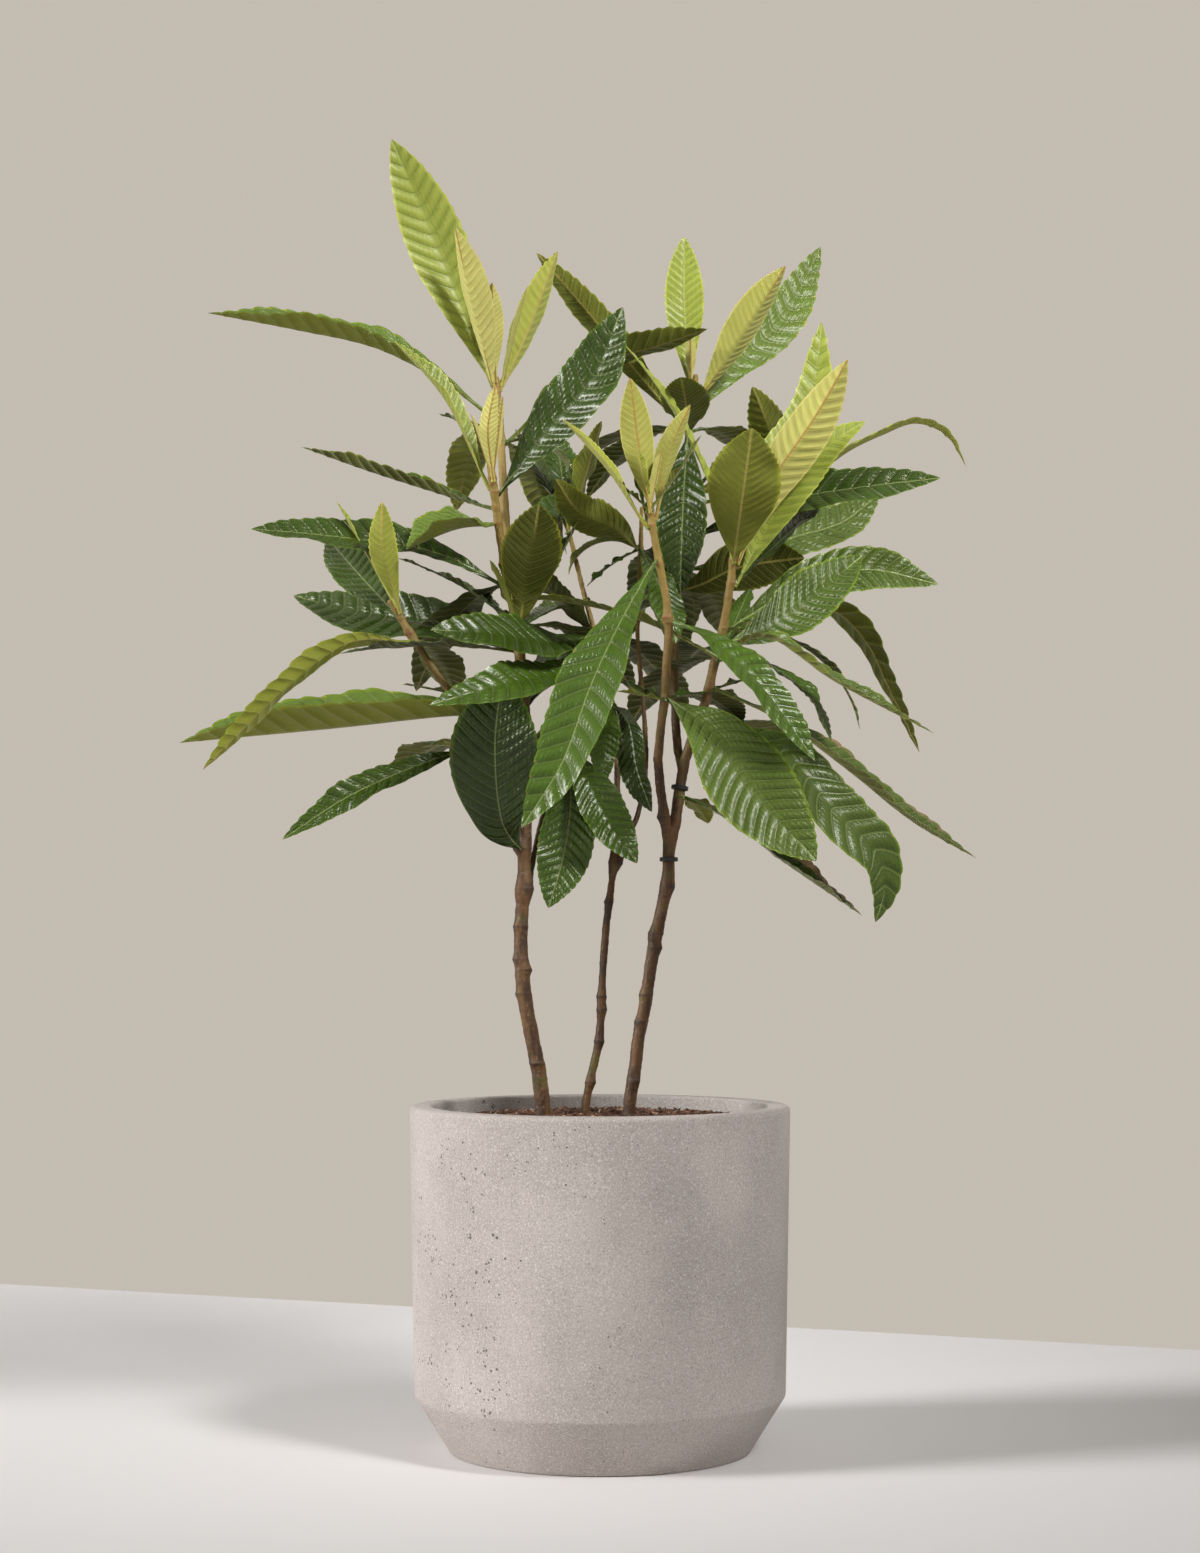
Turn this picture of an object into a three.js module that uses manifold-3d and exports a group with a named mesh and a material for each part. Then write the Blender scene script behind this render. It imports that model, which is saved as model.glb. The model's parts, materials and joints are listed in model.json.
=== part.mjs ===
// A potted loquat plant: three stems in a round concrete pot, with a shoot or more on each
// stem and long leaves in rosettes along the shoots.
// Millimetres, +Z up. The origin is the centre of the pot's flat underside, -Y is the front.
import * as THREE from "three";
import { mergeVertices } from "three/addons/utils/BufferGeometryUtils.js";
import Module from "manifold-3d";

const wasm = await Module();
wasm.setup();

// ---- Driving dimensions ----
const potHeight = 235;
const potRadius = 130;
const shoulderRadius = 127;
const shoulderHeight = 38;
const baseRadius = 104;
const wallThickness = 15;
const floorThickness = 14;
const outerLipRounding = 3;
const innerLipRounding = 1;
const innerWallLean = 2;
const innerShoulderHeight = 44;
const innerFootRadius = 93;
const potSides = 80;

const soilMiddleHeight = 230;
const soilEdgeHeight = 222;
const soilClearance = 0.6;
const soilSides = 48;
const gap = 0.35;

const stemFoot = 150;
const stemSides = 8;
const ringSpacing = 22;
const fewestRings = 4;

const tieClearance = 0.9;
const tieThickness = 1.2;
const tieHalfHeight = 1.6;
const tieBevel = 0.4;
const tieSides = 24;

const leafThickness = 0.8;
const petioleWidth = 3;
const petioleReach = 1.7;
const leafTipWidth = 1.2;
const leafStations = 9;
const bladeLean = 1.25;
const bladeFullness = 0.9;

const colours = {
  pot: 0x9c928c,
  soil: 0x33231b,
  bark: 0x6a4e36,
  tie: 0x1a1a1a,
  old: 0x24491f,
  mature: 0x4c7030,
  young: 0xa3b548,
  bud: 0xc9bd86,
};

function material(colour, roughness) {
  return new THREE.MeshStandardMaterial({ color: colour, roughness, metalness: 0 });
}

const potMaterial = material(colours.pot, 0.85);
const soilMaterial = material(colours.soil, 0.95);
const barkMaterial = material(colours.bark, 0.8);
const tieMaterial = material(colours.tie, 0.5);
const leafMaterials = {
  old: material(colours.old, 0.35),
  mature: material(colours.mature, 0.45),
  young: material(colours.young, 0.5),
  bud: material(colours.bud, 0.6),
};

const plant = new THREE.Group();

function addPiece(name, geometry, pieceMaterial) {
  const piece = new THREE.Mesh(geometry, pieceMaterial);
  piece.name = name;
  plant.add(piece);
  return piece;
}

// ---- Solids that are joined or cut ----
function toSolid(geometry) {
  const bare = geometry.clone();
  bare.deleteAttribute("normal");
  bare.deleteAttribute("uv");
  const merged = mergeVertices(bare);
  const vertProperties = new Float32Array(merged.attributes.position.array);
  const triVerts = new Uint32Array(merged.index.array);
  return new wasm.Manifold(new wasm.Mesh({ numProp: 3, vertProperties, triVerts }));
}

function toGeometry(solid) {
  const mesh = solid.getMesh();
  const geometry = new THREE.BufferGeometry();
  geometry.setAttribute("position", new THREE.BufferAttribute(mesh.vertProperties, 3));
  geometry.setIndex(new THREE.BufferAttribute(mesh.triVerts, 1));
  geometry.computeVertexNormals();
  return geometry;
}

// ---- Pot: a turned wall with a chamfered foot and a rounded lip ----
function lathe(outline, sides) {
  const points = outline.map(([radius, height]) => new THREE.Vector2(radius, height));
  const geometry = new THREE.LatheGeometry(points, sides);
  return geometry.rotateX(Math.PI / 2);
}

const innerRadius = potRadius - wallThickness;
const lipCorner = outerLipRounding * (1 - Math.SQRT1_2);
const potOutline = [
  [0, 0],
  [baseRadius, 0],
  [shoulderRadius, shoulderHeight],
  [potRadius, potHeight - outerLipRounding],
  [potRadius - lipCorner, potHeight - lipCorner],
  [potRadius - outerLipRounding, potHeight],
  [innerRadius + innerLipRounding, potHeight],
  [innerRadius, potHeight - innerLipRounding],
  [innerRadius - innerWallLean, innerShoulderHeight],
  [innerFootRadius, floorThickness],
  [0, floorThickness],
];
addPiece("pot", lathe(potOutline, potSides), potMaterial);

// ---- Stems: each is one grown piece, its shoots joined to its trunk ----
class Shoot {
  constructor(points, startRadius, endRadius) {
    this.curve = new THREE.CatmullRomCurve3(points.map((point) => new THREE.Vector3(...point)));
    this.startRadius = startRadius;
    this.endRadius = endRadius;
  }

  // Radius at a share of the length, from 0 at the bottom to 1 at the tip
  radiusAt(share) {
    return THREE.MathUtils.lerp(this.startRadius, this.endRadius, share);
  }

  // Share of the length at which the shoot reaches a height
  shareAt(height) {
    const halvings = 30;
    let low = 0;
    let high = 1;
    for (let step = 0; step < halvings; step += 1) {
      const middle = (low + high) / 2;
      if (this.curve.getPointAt(middle).z < height) {
        low = middle;
      } else {
        high = middle;
      }
    }
    return low;
  }

  // A cylinder bent along the curve and tapered, or the same a little larger all round
  geometry(extra = 0) {
    const rings = Math.max(fewestRings, Math.round(this.curve.getLength() / ringSpacing));
    const frames = this.curve.computeFrenetFrames(rings, false);
    const geometry = new THREE.CylinderGeometry(1, 1, 1, stemSides, rings);
    const position = geometry.attributes.position;
    const place = new THREE.Vector3();
    for (let index = 0; index < position.count; index += 1) {
      const ring = Math.round((position.getY(index) + 0.5) * rings);
      const radius = this.radiusAt(ring / rings) + extra;
      this.curve.getPointAt(ring / rings, place);
      if (ring === 0) {
        place.z -= extra;
      }
      place.addScaledVector(frames.normals[ring], position.getX(index) * radius);
      place.addScaledVector(frames.binormals[ring], -position.getZ(index) * radius);
      position.setXYZ(index, place.x, place.y, place.z);
    }
    return geometry;
  }
}

const leftTrunk = new Shoot([
  [-38, -12, stemFoot], [-39, -12, 235], [-42, -12, 260], [-48, -13, 290], [-52, -14, 315],
  [-54, -13, 340], [-53, -12, 370], [-51, -10, 415], [-50, -12, 465], [-52, -13, 515], [-57, -14, 565],
], 5.8, 3.6);
const leftTall = new Shoot([
  [-55, -14, 550], [-60, -5, 585], [-65, 15, 637], [-68, 30, 680], [-70, 42, 712], [-74, 50, 744],
], 3.5, 2.4);
const leftFront = new Shoot([
  [-56, -14, 555], [-60, -17, 580], [-65, -21, 605], [-70, -27, 640], [-74, -31, 670],
], 3.5, 2.6);
const leftLow = new Shoot([
  [-51, -10, 400], [-65, -15, 445], [-80, -20, 480], [-98, -24, 512], [-110, -26, 527],
  [-128, -28, 555], [-142, -29, 578],
], 3.2, 2.2);
const leftInner = new Shoot([
  [-51, -10, 380], [-45, -5, 405], [-40, 5, 432], [-30, 10, 465], [-24, 12, 485],
], 2.2, 1.6);
const middleTrunk = new Shoot([
  [-12, -6, stemFoot], [-10, -6, 235], [-6, -6, 255], [-1, -5, 275], [1, -3, 300], [2, -2, 330],
  [5, 0, 365], [9, 2, 395], [11, 10, 430], [12, 18, 460], [10, 28, 500], [5, 34, 530],
  [-10, 40, 585], [-22, 42, 635],
], 3.2, 1.7);
const middleBranch = new Shoot([
  [9, 2, 395], [19, 7, 417], [27, 13, 437], [32, 20, 465], [30, 28, 512], [26, 32, 563],
  [28, 34, 610], [29, 34, 650],
], 1.9, 1.5);
const rightTrunk = new Shoot([
  [19, -12, stemFoot], [20, -12, 235], [23, -12, 255], [26, -12, 280], [31, -12, 305],
  [36, -12, 340], [41, -11, 365], [46, -11, 385], [47, -11, 415],
], 4.5, 4.2);
const rightFront = new Shoot([
  [47, -11, 408], [45, -15, 425], [41, -22, 450], [39, -31, 475], [43, -39, 505], [45, -46, 540],
  [46, -50, 565], [41, -53, 592], [37, -55, 612], [32, -58, 640],
], 3.5, 2.5);
const rightOuter = new Shoot([
  [47, -11, 408], [52, -8, 432], [55, -5, 455], [60, -5, 478], [71, -9, 507], [78, -14, 537],
  [84, -20, 562], [89, -25, 595], [91, -26, 615],
], 4.1, 2.6);
const rightBack = new Shoot([
  [57, -5, 462], [53, 8, 482], [52, 22, 517], [52, 36, 563], [55, 48, 616], [59, 56, 663],
  [63, 62, 710], [68, 66, 748],
], 3.2, 2.2);

const stems = {
  left_stem: [leftTrunk, leftTall, leftFront, leftLow, leftInner],
  middle_stem: [middleTrunk, middleBranch],
  right_stem: [rightTrunk, rightFront, rightOuter, rightBack],
};

for (const [name, shoots] of Object.entries(stems)) {
  const solids = shoots.map((shoot) => toSolid(shoot.geometry()));
  const joined = solids.reduce((stem, shoot) => stem.add(shoot));
  addPiece(name, toGeometry(joined), barkMaterial);
}

// ---- Soil: a low dome of bark chips that fills the pot, with a socket round each stem ----
const soilRadius = innerRadius - innerWallLean - soilClearance;

function domePoint(share) {
  return [soilRadius * share, THREE.MathUtils.lerp(soilMiddleHeight, soilEdgeHeight, share ** 2)];
}

const soilOutline = [
  [0, floorThickness + gap],
  [innerFootRadius - innerWallLean, floorThickness + gap],
  [soilRadius - innerWallLean, innerShoulderHeight],
  ...[1, 0.75, 0.5, 0].map(domePoint),
];
let soil = toSolid(lathe(soilOutline, soilSides));
for (const trunk of [leftTrunk, middleTrunk, rightTrunk]) {
  soil = soil.subtract(toSolid(trunk.geometry(gap)));
}
addPiece("soil", toGeometry(soil), soilMaterial);

// ---- Ties: two black bands round the right stem, one under each fork ----
function addTie(name, shoot, height) {
  const share = shoot.shareAt(height);
  const inner = shoot.radiusAt(share) + tieClearance;
  const outer = inner + tieThickness;
  const band = [
    [inner, -tieHalfHeight],
    [outer, tieBevel - tieHalfHeight],
    [outer, tieHalfHeight - tieBevel],
    [inner, tieHalfHeight],
    [inner, -tieHalfHeight],
  ];
  const tie = addPiece(name, lathe(band, tieSides), tieMaterial);
  tie.position.copy(shoot.curve.getPointAt(share));
  const up = new THREE.Vector3(0, 0, 1);
  tie.quaternion.setFromUnitVectors(up, shoot.curve.getTangentAt(share));
}

addTie("lower_tie", rightTrunk, 403);
addTie("upper_tie", rightOuter, 452);

// ---- Leaves ----
// Blade width at a share of the length, as a share of the full width: wedge-shaped at the
// petiole, widest a little past the middle, pointed at the tip
function bladeShape(share) {
  return Math.sin(Math.PI * share ** bladeLean) ** bladeFullness;
}

// The midrib starts beside its shoot and runs through the given points, the last at the tip.
// The upper side looks towards `face`, and the two halves rise from the midrib by `fold` degrees.
function addLeaf([name, shoot, height, route, width, face, fold, age]) {
  const share = shoot.shareAt(height);
  const base = shoot.curve.getPointAt(share);
  const along = shoot.curve.getTangentAt(share);
  const points = route.map((point) => new THREE.Vector3(...point));
  const outward = points[0].clone().sub(base);
  outward.addScaledVector(along, -outward.dot(along)).normalize();
  base.addScaledVector(outward, shoot.radiusAt(share) + petioleReach);
  const midrib = new THREE.CatmullRomCurve3([base, ...points]);
  const upper = new THREE.Vector3(...face);
  const rise = THREE.MathUtils.degToRad(fold);

  const geometry = new THREE.BoxGeometry(1, 1, 1, leafStations, 2, 1);
  const position = geometry.attributes.position;
  for (let index = 0; index < position.count; index += 1) {
    const station = position.getX(index) + 0.5;
    const across = position.getY(index) * 2;
    const layer = position.getZ(index);
    const tangent = midrib.getTangentAt(station);
    const sideways = new THREE.Vector3().crossVectors(upper, tangent).normalize();
    const normal = new THREE.Vector3().crossVectors(tangent, sideways);
    const least = THREE.MathUtils.lerp(petioleWidth, leafTipWidth, station);
    const half = Math.max(width * bladeShape(station), least) / 2;
    const place = midrib.getPointAt(station);
    place.addScaledVector(sideways, across * half * Math.cos(rise));
    place.addScaledVector(normal, Math.abs(across) * half * Math.sin(rise));
    place.addScaledVector(normal, layer * leafThickness / Math.cos(rise));
    position.setXYZ(index, place.x, place.y, place.z);
  }
  addPiece(`leaf_${name}`, geometry, leafMaterials[age]);
}

// name, shoot, height on the shoot, midrib from the first bend to the tip, width, upper side,
// fold, age
const leaves = [
  ["left_tall_1", leftTall, 738, [[-115, 45, 835], [-145, 30, 905]], 44, [1, -3, 0], 10, "young"],
  ["left_tall_2", leftTall, 730, [[-90, 25, 795], [-100, 15, 840]], 30, [2, 3, 0], 40, "bud"],
  ["left_tall_3", leftTall, 740, [[-75, 35, 775], [-75, 30, 805]], 18, [0, 1, 0], 30, "bud"],
  ["left_tall_4", leftTall, 735, [[-50, 60, 780], [-30, 65, 835]], 26, [-2, 3, 0], 40, "young"],
  ["left_tall_5", leftTall, 712, [[-105, 40, 735], [-155, 35, 760], [-205, 25, 770], [-270, 10, 780]],
    40, [0, -1, 3], 45, "mature"],
  ["left_tall_6", leftTall, 695, [[-40, 50, 720], [5, 55, 755], [40, 50, 765], [75, 40, 775]],
    34, [0, 1, 2], 20, "mature"],

  ["left_front_1", leftFront, 655, [[-105, -20, 715], [-140, -20, 755]], 24, [2, -1, 1], 42, "young"],
  ["left_front_2", leftFront, 660, [[-75, -45, 690], [-70, -45, 720]], 14, [0, 1, 0], 34, "bud"],
  ["left_front_3", leftFront, 650, [[-40, -40, 685], [-5, -50, 725], [15, -55, 770]],
    42, [-1, -4, 1], 12, "old"],
  ["left_front_4", leftFront, 630, [[-95, -40, 625], [-130, -45, 610]], 48, [0, -1, 3], 36, "mature"],
  ["left_front_5", leftFront, 640, [[-105, 20, 655], [-160, 40, 675], [-210, 55, 695]],
    28, [0, 0, 1], 38, "mature"],
  ["left_front_6", leftFront, 590, [[-110, -25, 610], [-175, -30, 620], [-235, -35, 625]],
    34, [0, -1, 1], 18, "old"],

  ["left_trunk_1", leftTrunk, 560, [[-50, -35, 590], [-45, -55, 610], [-40, -80, 635]],
    40, [0, 3, 1], 8, "mature"],
  ["left_trunk_2", leftTrunk, 545, [[-110, 55, 570], [-165, 90, 580], [-225, 140, 600]],
    40, [0, -2, 1], 12, "old"],
  ["left_trunk_3", leftTrunk, 410, [[-65, -35, 425], [-70, -55, 475], [-65, -60, 525]],
    60, [0, -1, 0], 8, "old"],
  ["left_trunk_4", leftTrunk, 500, [[-90, -40, 500], [-180, -50, 490], [-280, -55, 480]],
    58, [0, -1, 4], 48, "mature"],

  ["left_low_1", leftLow, 570, [[-145, -50, 610], [-145, -55, 640]], 20, [0, 1, 0], 25, "young"],
  ["left_low_2", leftLow, 565, [[-170, 40, 605], [-195, 90, 635]], 34, [0, -2, 1], 8, "old"],
  ["left_low_3", leftLow, 550, [[-165, -75, 545], [-205, -85, 515], [-260, -90, 460]],
    20, [-1, 2, 2], 28, "mature"],
  ["left_low_4", leftLow, 480, [[-110, -40, 470], [-165, -60, 445], [-210, -70, 415]],
    22, [1, -2, 2], 15, "old"],

  ["left_inner_1", leftInner, 475, [[-20, -5, 445], [-25, -10, 405], [-35, -20, 370]],
    38, [0, -1, 0], 12, "old"],
  ["left_inner_2", leftInner, 480, [[-10, -10, 460], [5, -20, 430], [25, -35, 400]],
    32, [0, -3, 1], 22, "old"],

  ["middle_1", middleTrunk, 560, [[-30, -20, 550], [-75, -80, 550], [-110, -105, 550]],
    42, [0, -3, 2], 10, "old"],
  ["middle_2", middleTrunk, 540, [[-25, -25, 530], [-65, -90, 515], [-110, -120, 500]],
    32, [0, -2, 1], 12, "old"],
  ["middle_3", middleTrunk, 510, [[20, 0, 495], [25, -10, 465], [35, -20, 435]],
    26, [-2, -3, 0], 28, "old"],
  ["middle_4", middleBranch, 620, [[10, 5, 630], [-15, -15, 640], [-30, -25, 660]],
    28, [0, 3, 2], 15, "mature"],

  ["right_front_1", rightFront, 635, [[25, -65, 680], [20, -70, 720]], 24, [0, 1, 0], 28, "bud"],
  ["right_front_2", rightFront, 630, [[45, -55, 670], [60, -55, 705]], 18, [-1, 2, 0], 32, "bud"],
  ["right_front_3", rightFront, 625, [[5, -65, 660], [-25, -60, 695]], 18, [2, -1, 3], 32, "bud"],
  ["right_front_4", rightFront, 600,
    [[20, -80, 570], [-5, -120, 515], [-25, -140, 460], [-50, -145, 420]],
    46, [-1, -2, 0], 14, "old"],
  ["right_front_5", rightFront, 560, [[70, -70, 550], [105, -90, 515], [140, -100, 465]],
    28, [1, -2, 1], 18, "old"],
  ["right_front_6", rightFront, 510, [[75, -70, 485], [105, -95, 440], [140, -110, 400]],
    56, [0, -3, 1], 8, "mature"],

  ["right_outer_1", rightOuter, 605, [[95, -60, 645], [100, -80, 685]], 48, [0, 1, 0], 8, "mature"],
  ["right_outer_2", rightBack, 662, [[90, 50, 670], [120, 45, 690], [115, 30, 710], [105, 15, 730]],
    30, [0, 1, 0], 12, "mature"],
  ["right_outer_3", rightOuter, 610, [[105, 0, 660], [145, 30, 715], [155, 40, 780]],
    28, [0, -1, 0], 8, "young"],
  ["right_outer_4", rightOuter, 605, [[115, -35, 655], [145, -45, 700], [165, -55, 735]],
    34, [0, 4, -1], 20, "bud"],
  ["right_outer_5", rightOuter, 590, [[120, -25, 640], [150, -20, 680], [180, -20, 700]],
    30, [0, -2, 1], 10, "young"],
  ["right_outer_6", rightBack, 655, [[135, 75, 670], [190, 95, 705], [240, 105, 720], [265, 110, 690]],
    22, [0, 0, 1], 22, "young"],
  ["right_outer_7", rightBack, 628, [[95, 25, 640], [130, 0, 650], [175, -20, 655], [230, -30, 660]],
    36, [0, -3, 2], 12, "old"],
  ["right_outer_8", rightBack, 608, [[95, 65, 615], [135, 90, 635], [175, 115, 650], [205, 140, 675]],
    38, [0, -2, 1], 10, "mature"],
  ["right_outer_9", rightOuter, 545, [[130, 45, 590], [180, 65, 570], [205, 65, 525], [225, 55, 480]],
    26, [3, 2, 2], 12, "mature"],
  ["right_outer_10", rightOuter, 560, [[130, -20, 585], [180, -15, 600], [230, -15, 590]],
    36, [0, -2, 1], 10, "mature"],
  ["right_outer_11", rightOuter, 550, [[115, -40, 560], [145, -50, 580], [175, -50, 605]],
    40, [0, -2, 1], 8, "mature"],
  ["right_outer_12", rightOuter, 540, [[110, -65, 550], [155, -70, 520], [220, -75, 485]],
    22, [1, -1, 4], 28, "mature"],
  ["right_outer_13", rightOuter, 520, [[120, -10, 500], [170, 0, 465], [215, 10, 430], [260, 20, 405]],
    34, [1, -1, 3], 28, "mature"],
  ["right_outer_14", rightOuter, 490, [[115, -40, 480], [155, -60, 435], [190, -50, 395], [185, -40, 360]],
    44, [1, -2, 1], 10, "mature"],
  ["right_outer_15", rightOuter, 445, [[80, -20, 435], [125, -40, 400], [175, -50, 365]],
    24, [1, -1, 3], 32, "old"],

  ["right_back_1", rightBack, 738, [[60, 75, 800], [60, 85, 850]], 27, [0, -1, 0], 8, "young"],
  ["right_back_2", rightBack, 730, [[95, 55, 765], [130, 45, 820]], 32, [-2, 3, 0], 36, "bud"],
  ["right_back_3", rightBack, 720, [[100, 110, 765], [135, 145, 805], [165, 180, 865]],
    32, [1, -3, 1], 12, "mature"],
  ["right_back_4", rightBack, 710, [[35, 70, 740], [-5, 75, 790], [-45, 70, 835]],
    24, [1, 4, 2], 22, "mature"],
  ["right_back_5", rightBack, 705, [[60, 20, 715], [55, -20, 730]], 34, [0, 3, 4], 12, "mature"],
  ["right_back_6", rightBack, 592, [[70, 30, 595], [95, 15, 605], [140, 0, 610]],
    36, [0, 3, 1], 8, "mature"],
];

for (const leaf of leaves) {
  addLeaf(leaf);
}

export default plant;
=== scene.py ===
"""A young loquat plant in a round concrete planter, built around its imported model.

Sizes are in metres. The origin is the centre of the pot's flat underside, and -Y is the front.
"""

import json
import math
import random

import bmesh
import bpy
from mathutils import Euler, Matrix, Vector, noise
from mathutils.bvhtree import BVHTree
from mathutils.kdtree import KDTree


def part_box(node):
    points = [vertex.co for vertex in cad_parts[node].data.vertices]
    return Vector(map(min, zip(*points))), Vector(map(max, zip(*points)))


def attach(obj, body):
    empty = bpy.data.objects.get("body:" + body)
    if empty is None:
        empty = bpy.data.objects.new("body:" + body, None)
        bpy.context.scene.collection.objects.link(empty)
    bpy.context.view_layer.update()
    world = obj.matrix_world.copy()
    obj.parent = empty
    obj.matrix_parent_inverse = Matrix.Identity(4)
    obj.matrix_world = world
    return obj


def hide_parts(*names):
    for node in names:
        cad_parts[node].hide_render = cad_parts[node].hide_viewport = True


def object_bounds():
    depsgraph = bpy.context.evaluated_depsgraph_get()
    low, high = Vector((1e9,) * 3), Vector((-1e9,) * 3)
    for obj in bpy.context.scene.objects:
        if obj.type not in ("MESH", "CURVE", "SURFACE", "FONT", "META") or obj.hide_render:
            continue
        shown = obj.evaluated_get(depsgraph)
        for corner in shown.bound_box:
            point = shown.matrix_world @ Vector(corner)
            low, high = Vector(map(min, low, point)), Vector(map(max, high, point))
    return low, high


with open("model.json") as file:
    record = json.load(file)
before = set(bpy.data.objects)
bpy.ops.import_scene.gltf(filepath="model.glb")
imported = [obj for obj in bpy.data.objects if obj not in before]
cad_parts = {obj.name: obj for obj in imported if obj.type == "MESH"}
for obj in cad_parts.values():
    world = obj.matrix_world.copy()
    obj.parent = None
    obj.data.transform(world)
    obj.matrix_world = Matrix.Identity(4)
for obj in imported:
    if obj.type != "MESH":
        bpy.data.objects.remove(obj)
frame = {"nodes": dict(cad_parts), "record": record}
cad_low, cad_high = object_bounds()


# ---- Pot ----
# A planter cast in concrete, in one piece with its floor. The wall leans out a little, the foot
# is chamfered, and the lip is rounded over on both edges.
MM = 0.001
_, pot_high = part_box("pot")
POT_HEIGHT = pot_high.z
POT_RADIUS = pot_high.x
SHOULDER_RADIUS = POT_RADIUS - 3 * MM
SHOULDER_HEIGHT = 38 * MM
SHOULDER_ROUNDING = 6 * MM
FOOT_RADIUS = 102 * MM
FOOT_ROUNDING = 2 * MM
WALL = 15 * MM
POT_FLOOR = 14 * MM
OUTER_LIP_ROUNDING = 3.5 * MM
INNER_LIP_ROUNDING = 2 * MM
INNER_WALL_LEAN = 2 * MM
INNER_CHAMFER = 6 * MM


def corner(middle, radius, start, end, steps=6):
    """Points round a corner of the outline, from one angle to another in degrees."""
    angles = [math.radians(start + (end - start) * step / steps) for step in range(steps + 1)]
    return [(middle[0] + radius * math.cos(a), middle[1] + radius * math.sin(a)) for a in angles]


def turned(name, outline, steps=180):
    """A closed shape turned round the Z axis from its outline of radius and height."""
    shape = bmesh.new()
    points = [shape.verts.new((radius, 0, height)) for radius, height in outline]
    edges = [shape.edges.new(pair) for pair in zip(points, points[1:])]
    bmesh.ops.spin(
        shape, geom=points + edges, axis=(0, 0, 1), cent=(0, 0, 0),
        angle=math.tau, steps=steps, use_merge=True,
    )
    bmesh.ops.remove_doubles(shape, verts=shape.verts, dist=1e-6)
    bmesh.ops.recalc_face_normals(shape, faces=shape.faces)
    return finished(name, shape)


def finished(name, shape, smooth=True):
    """The bmesh as a piece that rides on the plant's one body."""
    mesh = bpy.data.meshes.new(name)
    for face in shape.faces:
        face.smooth = smooth
    shape.to_mesh(mesh)
    shape.free()
    piece = bpy.data.objects.new(name, mesh)
    bpy.context.scene.collection.objects.link(piece)
    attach(piece, "root")
    return piece


class Surface:
    """A node material with one Principled shader, and short calls for the nodes it needs."""

    def __init__(self, name):
        self.material = bpy.data.materials.new(name)
        self.material.use_nodes = True
        self.nodes = self.material.node_tree.nodes
        self.links = self.material.node_tree.links
        self.shader = self.nodes["Principled BSDF"]

    def plug(self, source, socket):
        if hasattr(source, "is_output"):
            self.links.new(source, socket)
        else:
            socket.default_value = source

    def place(self, stretch=(1, 1, 1)):
        """Object coordinates, stretched."""
        coordinates = self.nodes.new("ShaderNodeTexCoord")
        mapping = self.nodes.new("ShaderNodeMapping")
        mapping.inputs["Scale"].default_value = stretch
        self.links.new(coordinates.outputs["Object"], mapping.inputs["Vector"])
        return mapping.outputs["Vector"]

    def part_of(self, where, axis):
        """One of the X, Y and Z parts of a place."""
        node = self.nodes.new("ShaderNodeSeparateXYZ")
        self.links.new(where, node.inputs["Vector"])
        return node.outputs[axis]

    def attribute(self, name):
        node = self.nodes.new("ShaderNodeAttribute")
        node.attribute_name = name
        return node.outputs["Fac"]

    def clouds(self, where, scale, detail=4.0, roughness=0.55):
        node = self.nodes.new("ShaderNodeTexNoise")
        node.inputs["Scale"].default_value = scale
        node.inputs["Detail"].default_value = detail
        node.inputs["Roughness"].default_value = roughness
        self.links.new(where, node.inputs["Vector"])
        return node.outputs["Fac"]

    def cells(self, where, scale, feature="F1"):
        node = self.nodes.new("ShaderNodeTexVoronoi")
        node.feature = feature
        node.inputs["Scale"].default_value = scale
        self.links.new(where, node.inputs["Vector"])
        return node.outputs["Distance"]

    def math(self, operation, first, second=0.0, third=0.0):
        node = self.nodes.new("ShaderNodeMath")
        node.operation = operation
        for socket, value in zip(node.inputs, (first, second, third)):
            self.plug(value, socket)
        return node.outputs["Value"]

    def span(self, value, low, high, first=0.0, last=1.0):
        """first below low, last above high, and smooth between."""
        node = self.nodes.new("ShaderNodeMapRange")
        node.interpolation_type = "SMOOTHSTEP"
        for socket, number in zip(node.inputs, (value, low, high, first, last)):
            self.plug(number, socket)
        return node.outputs["Result"]

    def mix(self, share, first, second):
        node = self.nodes.new("ShaderNodeMix")
        node.data_type = "RGBA"
        for socket, value in zip((node.inputs[0], node.inputs[6], node.inputs[7]), (share, first, second)):
            self.plug(value, socket)
        return node.outputs[2]

    def bump(self, height, distance, strength=1.0):
        node = self.nodes.new("ShaderNodeBump")
        node.inputs["Strength"].default_value = strength
        node.inputs["Distance"].default_value = distance
        self.links.new(height, node.inputs["Height"])
        self.links.new(node.outputs["Normal"], self.shader.inputs["Normal"])

    def finish(self, tone, roughness, **fixed):
        self.plug(tone, self.shader.inputs["Base Color"])
        self.plug(roughness, self.shader.inputs["Roughness"])
        for socket, value in fixed.items():
            self.shader.inputs[socket.replace("_", " ")].default_value = value
        return self.material


def colour(red, green, blue):
    return (red, green, blue, 1.0)


CEMENT_DARK = colour(0.38, 0.335, 0.308)
CEMENT_LIGHT = colour(0.46, 0.41, 0.38)
SAND_PALE = colour(0.72, 0.68, 0.65)
SAND_DARK = colour(0.22, 0.19, 0.17)
# painted shade for the inside of the pits
PAINTED_PIT_SHADE = colour(0.08, 0.065, 0.055)
# about how many sand grains, blotches and pits there are to a metre
SAND_PER_METRE = 900
BLOTCHES_PER_METRE = 12
PIT_PATCHES_PER_METRE = 18
PIT_CLUSTERS_PER_METRE = 110
SMALL_PITS_PER_METRE = 290
WIDE_PITS_PER_METRE = 130
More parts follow.
